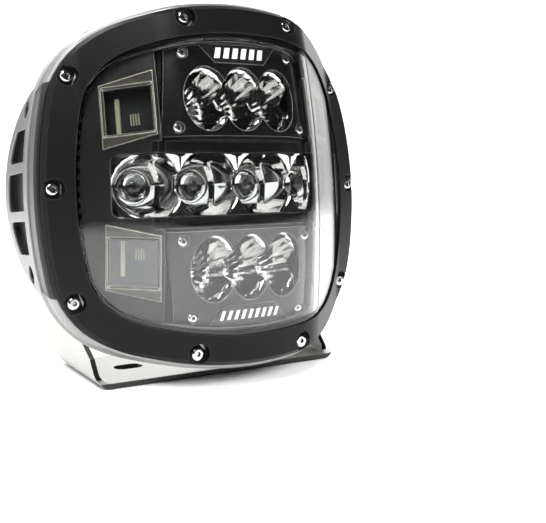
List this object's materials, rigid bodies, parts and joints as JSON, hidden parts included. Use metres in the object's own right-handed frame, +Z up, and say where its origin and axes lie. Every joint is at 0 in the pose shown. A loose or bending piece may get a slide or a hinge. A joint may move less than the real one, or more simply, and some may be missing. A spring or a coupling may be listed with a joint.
{
  "type": "fog light",
  "caption": "LED fog lamp with a crowned squarish face, projector row, reflector banks and side windows, tilting on a U bracket.",
  "frame": {"origin": "centre of the underside of the bracket's base, midway between its two slots", "axes": "+Z up, -Y towards the lit front, +X across; the part is the same on both sides of X = 0"},
  "size_m": [0.223, 0.1219, 0.2165],
  "materials": {
    "badge_grey": "satin grey",
    "bezel_black": "black lacquer over die casting",
    "board_green": "green solder mask",
    "board_white": "white solder mask",
    "box_dark": "matt dark grey",
    "bracket_steel": "brushed stainless sheet",
    "cast_housing": "die cast, satin silver-grey lacquer",
    "chip_yellow": "phosphor yellow",
    "cover_plate": "satin silver-grey lacquer",
    "fascia_plastic": "satin dark grey",
    "frame_champagne": "satin yellowish grey",
    "gland_plastic": "matt black nylon",
    "lens_clear": "clear hard-coated polycarbonate",
    "light_white": "frosted white",
    "module_plastic": "matt black",
    "optic_clear": "polished clear plastic",
    "plate_black": "satin black",
    "reflector_mirror": "vacuum-metallised plastic",
    "screw_steel": "bright stainless",
    "seal_rubber": "matt silicone",
    "spreader_aluminium": "bare, machined",
    "washer_plastic": "matt"
  },
  "bodies": {
    "bracket": {"bracket": "bracket_steel"},
    "head": {"back_cover": "cover_plate", "badge_lower": "badge_grey", "badge_upper": "badge_grey", "ball_lens_1": "optic_clear", "ball_lens_2": "optic_clear", "ball_lens_3": "optic_clear", "ball_lens_4": "optic_clear", "bezel": "bezel_black", "bezel_screws": "screw_steel", "control_module": "module_plastic", "cover_screws": "screw_steel", "cover_seal": "seal_rubber", "driver_board": "board_green", "fascia": "fascia_plastic", "fin_plate": "cast_housing", "friction_washers": "washer_plastic", "front_ring": "cast_housing", "gland_body": "gland_plastic", "gland_nut": "gland_plastic", "heat_sink": "cast_housing", "heat_spreader": "spreader_aluminium", "led_board_lower": "board_white", "led_board_row": "board_white", "led_board_upper": "board_white", "led_chips_lower": "chip_yellow", "led_chips_row": "chip_yellow", "led_chips_upper": "chip_yellow", "lens": "lens_clear", "lens_seal": "seal_rubber", "light_bar_lower_left": "light_white", "light_bar_lower_right": "light_white", "light_bar_upper_left": "light_white", "light_bar_upper_right": "light_white", "pivot_bolts": "screw_steel", "pivot_washers": "screw_steel", "plate_screws": "screw_steel", "rear_housing": "cast_housing", "reflector_plate_lower": "plate_black", "reflector_plate_upper": "plate_black", "ring_seal": "seal_rubber", "row_reflector": "reflector_mirror", "side_skirt_left": "cast_housing", "side_skirt_right": "cast_housing", "spreader_screws": "screw_steel", "triple_reflector_lower": "reflector_mirror", "triple_reflector_upper": "reflector_mirror", "vent_plug": "gland_plastic", "window_box_lower_left": "box_dark", "window_box_lower_right": "box_dark", "window_box_upper_left": "box_dark", "window_box_upper_right": "box_dark", "window_frame_lower_left": "frame_champagne", "window_frame_lower_right": "frame_champagne", "window_frame_upper_left": "frame_champagne", "window_frame_upper_right": "frame_champagne", "window_pane_lower_left": "optic_clear", "window_pane_lower_right": "optic_clear", "window_pane_upper_left": "optic_clear", "window_pane_upper_right": "optic_clear"}
  },
  "joints": [
    {"name": "head_tilt", "type": "hinge", "parent": "bracket", "child": "head", "pos_m": [0, 0.0235, 0.107], "axis": [1, 0, 0], "range_deg": [-45, 1]}
  ]
}
